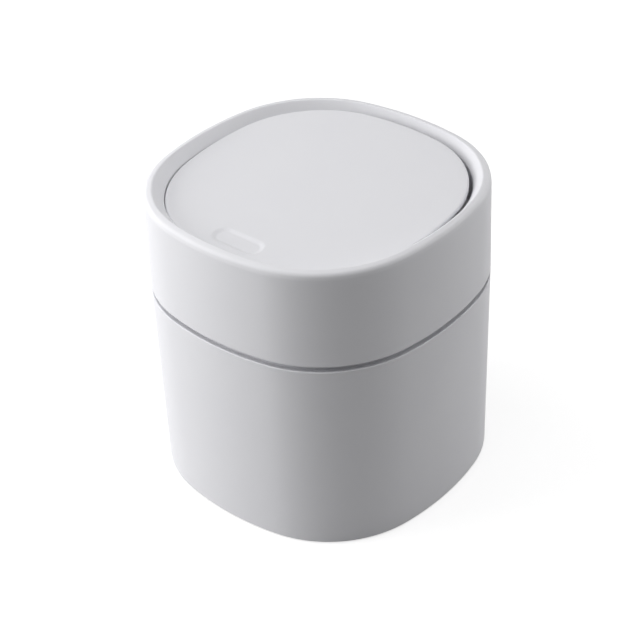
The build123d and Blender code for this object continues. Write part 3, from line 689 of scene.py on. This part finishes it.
# Lid pan: the plan outline, drafted, with its rear cut straight by a smooth minimum that rounds the corners
def makeLidPan(s, p):
    floor, top = -(s["thickness"] + p["depth"]), -s["thickness"] + p["intoSkin"]
    profile = roundedProfile([
        (p["nearMiddle"], floor, 0, 0),
        (p["inset"] + p["draft"], floor, 0, p["floorRadius"]),
        (p["inset"], top, 0, 0),
        (p["nearMiddle"], top, 0, 0),
    ])
    x, y = planOutline(profile[:, 0], s["ease"])
    rear = (p["rear"] - (profile[:, 0] - p["inset"]).clip(0, p["rearMost"]))[:, None]
    share = np.clip(0.5 + 0.5 * (rear - y) / p["rearCorner"], 0, 1)
    y = rear * (1 - share) + y * share - p["rearCorner"] * share * (1 - share)
    grid = np.dstack([x, y, np.repeat(profile[:, 1][:, None], x.shape[1], axis=1)])
    mesh = gridMesh(fromLid(grid), startPole=fromLid((0, p["poleOffset"], floor)),
                    endPole=fromLid((0, p["poleOffset"], top)))
    makePiece("lidPan", [mesh], "lid", innerPlastic, ["lid_pan"])


# Lid arms: a prism on the hull of a circle round the pin and a root at the pan's rear wall. Beside each arm
# a tab reaches back from that wall over the spring's leg.
def makeLidArms(s, p, h):
    face, rear, tabFront = -s["thickness"], p["rear"], p["rear"] - p["wall"]
    root = fromLid([(0, y, z) for z in (face, face - p["rootDepth"]) for y in (rear - p["rootWidth"], rear)])
    arm = hullYz(np.vstack([circleYz(h["y"], h["z"], h["lugRadius"]), root]))
    tab = fromLid([(0, tabFront, -p["tabBottom"]), (0, p["tabRear"], -p["tabBottom"]),
                   (0, p["tabRear"], face), (0, tabFront, face)])
    knuckleEnd = p["knuckleStart"] + p["knuckleWidth"]
    parts = []
    for side in (-1, 1):
        parts.append(prismMesh(arm, (1, 0, 0), *sorted((side * p["knuckleStart"], side * knuckleEnd))))
        parts.append(prismMesh(tab, (1, 0, 0), *sorted((side * p["tabInner"], side * p["knuckleStart"]))))
    makePiece("lidArms", parts, "lid", innerPlastic, ["lid_pan"],
              bevel=p["edgeSoftness"], smooth=False)


makeLidSkin(lidShape)
makeLidPan(lidShape, panShape)
makeLidArms(lidShape, panShape, hingeShape)
print("lid made")

# Torsion springs on the hinge pins: a helix with a straight leg under the lid and one on the shelf
springShape = {
    "wireRadius": 0.3,
    "coilRadius": 1.75,
    "pitch": 1.05,
    "turns": 2.75,
    "turnSteps": 40,
    "startDegrees": -90.0,
    "start": 33.5,
    "lidLeg": 6.0,
    "restLeg": 6.5,
    "legStart": 0.15,
    "legSteps": 8,
}


# Spring path in its own axes: angle grows evenly and so does the climb; each leg leaves along the tangent
def springPath(s):
    turnCount = round(s["turns"] * s["turnSteps"]) + 1
    angle = math.radians(s["startDegrees"]) + np.linspace(0, s["turns"] * 2 * math.pi, turnCount)
    climb = s["pitch"] * (angle - angle[0]) / (2 * math.pi)
    coil = np.stack([s["coilRadius"] * np.cos(angle), s["coilRadius"] * np.sin(angle), climb], axis=1)
    slope = np.stack([-s["coilRadius"] * np.sin(angle), s["coilRadius"] * np.cos(angle),
                      np.full(len(angle), s["pitch"] / (2 * math.pi))], axis=1)
    slope /= np.linalg.norm(slope, axis=1)[:, None]
    lidLeg = coil[0] - slope[0] * np.linspace(s["lidLeg"], s["legStart"], s["legSteps"])[:, None]
    restLeg = coil[-1] + slope[-1] * np.linspace(s["legStart"], s["restLeg"], s["legSteps"])[:, None]
    return np.vstack([lidLeg, coil, restLeg])


# The path is laid along the lid's leaning plane, round the hinge line, and climbs outwards on both sides
def makeSpring(name, side, s, h):
    path = springPath(s)
    lean = math.radians(lidShape["leanDegrees"])
    along = np.array([0, math.cos(lean), math.sin(lean)])
    off = np.array([0, -math.sin(lean), math.cos(lean)])
    placed = path[:, :1] * along + path[:, 1:2] * off + np.array([0, h["y"], h["z"]])
    placed[:, 0] = side * (s["start"] + path[:, 2])
    makePiece(name, [wireMesh(placed, s["wireRadius"])], "cover", springSteel,
              ["hinge_spring_left" if side < 0 else "hinge_spring_right"])


makeSpring("hingeSpringLeft", -1, springShape, hingeShape)
makeSpring("hingeSpringRight", 1, springShape, hingeShape)

# Compression spring of the latch: its end coils lie closed and the rest climb evenly. Its foot is on the
# housing's floor and its head under the plunger.
latchSpringShape = {
    "wireRadius": 0.25,
    "coilRadius": 1.6,
    "turns": 6,
    "turnSteps": 32,
    "closedTurns": 0.9,
}


# The wire turns evenly. Its height rises by two wire radii a turn at the ends and evenly in between.
def makeLatchSpring(s):
    low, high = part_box("latch_spring")
    bottom, top = low.z / mm + s["wireRadius"], high.z / mm - s["wireRadius"]
    closed, turns = s["closedTurns"], s["turns"]
    turn = np.linspace(0, turns, turns * s["turnSteps"] + 1)
    rise = closed * 2 * s["wireRadius"]
    height = np.interp(turn, [0, closed, turns - closed, turns], [bottom, bottom + rise, top - rise, top])
    path = np.stack([s["coilRadius"] * np.cos(2 * math.pi * turn),
                     s["coilRadius"] * np.sin(2 * math.pi * turn) - shelfShape["latchOffset"], height], axis=1)
    spring = makePiece("latchSpringWire", [wireMesh(path, s["wireRadius"])], None, springSteel,
                       ["latch_spring"])
    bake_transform(spring)
    print("latch spring, mm long", round(top - bottom, 2), "and closed", round(turns * 2 * s["wireRadius"], 2))


makeLatchSpring(latchSpringShape)

# Screws: a domed head with a cross recess. The latch's stand on its housing's flange, and the ring's hang
# from the seat ring.
latchScrew = {
    "headRadius": 1.8,
    "headHeight": 1.2,
    "shankRadius": 0.9,
    "shankLength": 6.0,
    "bar": 0.28,
    "recess": 0.7,
    "flange": 1.6,
}
ringScrew = {
    "headRadius": 2.0,
    "headHeight": 1.4,
    "shankRadius": 1.1,
    "shankLength": 9.0,
    "bar": 0.32,
    "recess": 0.8,
}

# What the screws share: steps, then shares of the head's radius or height, then mm for the tip and for how
# soft the cross is
screwHead = {
    "steps": 64,
    "flankSteps": 5,
    "seat": 0.96,
    "flankLow": 0.2,
    "flankRise": 0.38,
    "domeFall": 0.28,
    "domeRings": (0.92, 0.8, 0.66, 0.56, 0.5, 0.44, 0.36, 0.28, 0.2, 0.12, 0.05),
    "crossReach": 0.56,
    "crossAbove": 0.6,
    "tipRadius": 0.3,
    "tipLength": 0.6,
    "barSoftness": 0.12,
    "reachSoftness": 0.15,
}


# A lathed screw. Its dome falls with the square of the radius. The cross is sunk by a step across its two bars,
# softened at their sides and ends.
def screwMesh(s, head, seat, axis):
    radius, tall = s["headRadius"], s["headHeight"]
    ringRadius = radius * np.array(head["domeRings"])
    dome = tall * (1 - head["domeFall"] * (ringRadius / radius)**2)
    flank = [(radius, tall * head["flankLow"] + head["flankRise"] * tall * share)
             for share in np.linspace(0, 1, head["flankSteps"] + 1)]
    profile = [
        (head["tipRadius"], -s["shankLength"]),
        (s["shankRadius"], -s["shankLength"] + head["tipLength"]),
        (s["shankRadius"], 0),
        (radius * head["seat"], 0),
        *flank,
        *zip(ringRadius, dome),
    ]

    def crossRecess(x, y, height):
        across = np.minimum(np.abs(x), np.abs(y))
        inBar = np.clip((s["bar"] - across) / head["barSoftness"], 0, 1)
        inReach = np.clip((radius * head["crossReach"] - np.hypot(x, y)) / head["reachSoftness"], 0, 1)
        return height - np.where(height > tall * head["crossAbove"], s["recess"] * (inBar * inReach), 0)

    return lathedMesh(profile, seat, axis, steps=head["steps"], shape=crossRecess)


def makeScrews():
    x, y, z = shelfShape["bossOffset"], -shelfShape["latchOffset"], levels["ledgeTop"] + latchScrew["flange"]
    latch = [screwMesh(latchScrew, screwHead, (side * x, y, z), (0, 0, 1)) for side in (-1, 1)]
    makePiece("latchScrews", latch, "cover", zincSteel, ["latch_screws"])
    low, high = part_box("ring_screws")
    place = high.x / mm - ringScrew["headRadius"]
    ring = [screwMesh(ringScrew, screwHead, (sideX * place, sideY * place, levels["neckTop"]), (0, 0, -1))
            for sideX in (-1, 1) for sideY in (-1, 1)]
    makePiece("ringScrews", ring, "cover", zincSteel, ["ring_screws"])


makeScrews()
print("springs and screws made")

# Finishes of the pieces that keep their CAD shape
cadFinishes = {
    "foot_front_left": rubber,
    "foot_front_right": rubber,
    "foot_rear_left": rubber,
    "foot_rear_right": rubber,
    "lid_buffer_left": rubber,
    "lid_buffer_right": rubber,
    "seat_ring": innerPlastic,
    "latch_housing": latchPlastic,
    "latch_plunger": latchPlastic,
    "hinge_pin_left": pinSteel,
    "hinge_pin_right": pinSteel,
    "striker_plate": zincSteel,
    "striker_screws": zincSteel,
    "catch_magnet": nickel,
}
for nodeName, finish in cadFinishes.items():
    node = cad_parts[nodeName]
    node.data.materials.clear()
    node.data.materials.append(finish)
print("finishes given")

# Studio: a plain pale floor and backdrop, both white to the camera. The floor has a glow of its own that grows
# away from the bin, where the lamps fall off.
studio = {
    "backdrop": "#FFFFFF",
    "paper": "#BCBCBC",
    "worldFill": 0.04,
    "floorHalf": 6.0,
    "floorLift": 0.72,
    "farLift": 1.0,
    "nearReach": 0.5,
    "farReach": 2.0,
    "lampAim": 0.08,
}

# Lamps in watts: a large soft key low on the left with another behind it, a weaker fill on the right with a
# small one in front of it, and a soft light overhead. Hardly any light comes from the front, so the corner
# towards the camera is the darkest.
lamps = {
    "keyLamp": {"energy": 7.1, "size": 0.8, "right": -1.0, "ahead": -0.05, "up": 0.3},
    "backKeyLamp": {"energy": 3.4, "size": 0.9, "right": -0.85, "ahead": 0.25, "up": 0.55},
    "fillLamp": {"energy": 3.4, "size": 0.8, "right": 0.9, "ahead": 0.3, "up": 0.35},
    "frontFillLamp": {"energy": 1.1, "size": 0.7, "right": 0.95, "ahead": -0.25, "up": 0.35},
    "topLamp": {"energy": 6.2, "size": 1.0, "right": -0.2, "ahead": -0.1, "up": 1.07},
}

# Camera in degrees and metres, with its lens and sensor in mm. It looks past a point above the middle of the
# base: it stands to the left of and below the line through that point, by two small shares of its distance.
view = {
    "azimuth": 41.3,
    "elevation": 35.3,
    "roll": -2.395,
    "distance": 0.8312,
    "lens": 97.16,
    "sensor": 36.0,
    "aimHeight": 0.07657,
    "aimRight": 0.0016,
    "aimUp": 0.0039,
}


# Camera set back along its view, and the level directions to its right and ahead. Its own right and up are the
# level and the upright direction, turned together by the roll.
def makeCamera(v):
    azimuth, elevation, roll = (math.radians(v[key]) for key in ("azimuth", "elevation", "roll"))
    level = Vector((math.cos(azimuth), math.sin(azimuth), 0))
    ahead = Vector((-math.sin(azimuth), math.cos(azimuth), 0))
    forward = math.cos(elevation) * ahead - math.sin(elevation) * Vector((0, 0, 1))
    upright = math.sin(elevation) * ahead + math.cos(elevation) * Vector((0, 0, 1))
    right = math.cos(roll) * level + math.sin(roll) * upright
    up = -math.sin(roll) * level + math.cos(roll) * upright
    aim = Vector((0, 0, v["aimHeight"]))
    place = aim - v["distance"] * (forward + v["aimRight"] * right + v["aimUp"] * up)
    data = bpy.data.cameras.new("studioCamera")
    data.lens = v["lens"]
    data.sensor_width = v["sensor"]
    camera = bpy.data.objects.new("studioCamera", data)
    bpy.context.scene.collection.objects.link(camera)
    turned = Matrix((right, up, -forward)).transposed().to_4x4()
    camera.matrix_world = Matrix.Translation(place) @ turned
    bpy.context.scene.camera = camera
    return level, ahead


# A square lamp at a place given along the camera's right, ahead and up, aimed at the bin
def makeLamp(name, lamp, level, ahead):
    data = bpy.data.lights.new(name, "AREA")
    data.shape = "SQUARE"
    data.size = lamp["size"]
    data.energy = lamp["energy"]
    place = level * lamp["right"] + ahead * lamp["ahead"] + Vector((0, 0, lamp["up"]))
    light = bpy.data.objects.new(name, data)
    light.location = place
    light.rotation_mode = "QUATERNION"
    light.rotation_quaternion = (Vector((0, 0, studio["lampAim"])) - place).to_track_quat("-Z", "Y")
    bpy.context.scene.collection.objects.link(light)


# 1 for a ray that comes from the camera, off gloss or through glass, and 0 for the light that falls on things
def seenDirectly(tree):
    path = addNode(tree, "ShaderNodeLightPath")
    seen = addNode(tree, "ShaderNodeMath", {"operation": "MAXIMUM"}, {
        0: path.outputs["Is Camera Ray"], 1: path.outputs["Is Glossy Ray"]})
    seenToo = addNode(tree, "ShaderNodeMath", {"operation": "MAXIMUM"}, {
        0: seen.outputs[0], 1: path.outputs["Is Transmission Ray"]})
    return seenToo.outputs[0]


# Pale paper that the lamps light, plus a glow that grows with the distance from the bin and lights nothing
def makeFloor(s):
    size = s["floorHalf"]
    corners = [(-size, -size, 0), (size, -size, 0), (size, size, 0), (-size, size, 0)]
    mesh = bpy.data.meshes.new("studioFloor")
    mesh.from_pydata(corners, [], [(0, 1, 2, 3)])
    floor = bpy.data.objects.new("studioFloor", mesh)
    bpy.context.scene.collection.objects.link(floor)
    material = bpy.data.materials.new("white paper backdrop")
    material.use_nodes = True
    tree = material.node_tree
    tree.nodes.remove(tree.nodes["Principled BSDF"])
    place = addNode(tree, "ShaderNodeTexCoord").outputs["Object"]
    reach = addNode(tree, "ShaderNodeVectorMath", {"operation": "LENGTH"}, {0: place})
    glowing = addNode(tree, "ShaderNodeMapRange", inputs={
        "Value": reach.outputs["Value"], "From Min": s["nearReach"], "From Max": s["farReach"],
        "To Min": s["floorLift"], "To Max": s["farLift"]})
    lift = addNode(tree, "ShaderNodeMath", {"operation": "MULTIPLY"}, {
        0: seenDirectly(tree), 1: glowing.outputs["Result"]})
    paper = addNode(tree, "ShaderNodeBsdfDiffuse", inputs={"Color": hexToLinear(s["paper"])})
    glow = addNode(tree, "ShaderNodeEmission", inputs={
        "Color": hexToLinear(s["backdrop"]), "Strength": lift.outputs[0]})
    both = addNode(tree, "ShaderNodeAddShader", inputs={0: paper.outputs[0], 1: glow.outputs[0]})
    tree.links.new(both.outputs[0], tree.nodes["Material Output"].inputs["Surface"])
    mesh.materials.append(material)


# A white sky where it is seen, and a faint fill where it only lights
def makeWorld(s):
    world = bpy.data.worlds.new("studioWorld")
    world.use_nodes = True
    tree = world.node_tree
    strength = addNode(tree, "ShaderNodeMapRange", inputs={
        "Value": seenDirectly(tree), "To Min": s["worldFill"], "To Max": 1.0})
    sky = tree.nodes["Background"]
    sky.inputs["Color"].default_value = hexToLinear(s["backdrop"])
    tree.links.new(strength.outputs["Result"], sky.inputs["Strength"])
    bpy.context.scene.world = world


level, ahead = makeCamera(view)
for lampName, lamp in lamps.items():
    makeLamp(lampName, lamp, level, ahead)
makeFloor(studio)
makeWorld(studio)
bpy.context.scene.view_settings.view_transform = "Standard"
print("studio set")

bpy.context.view_layer.update()
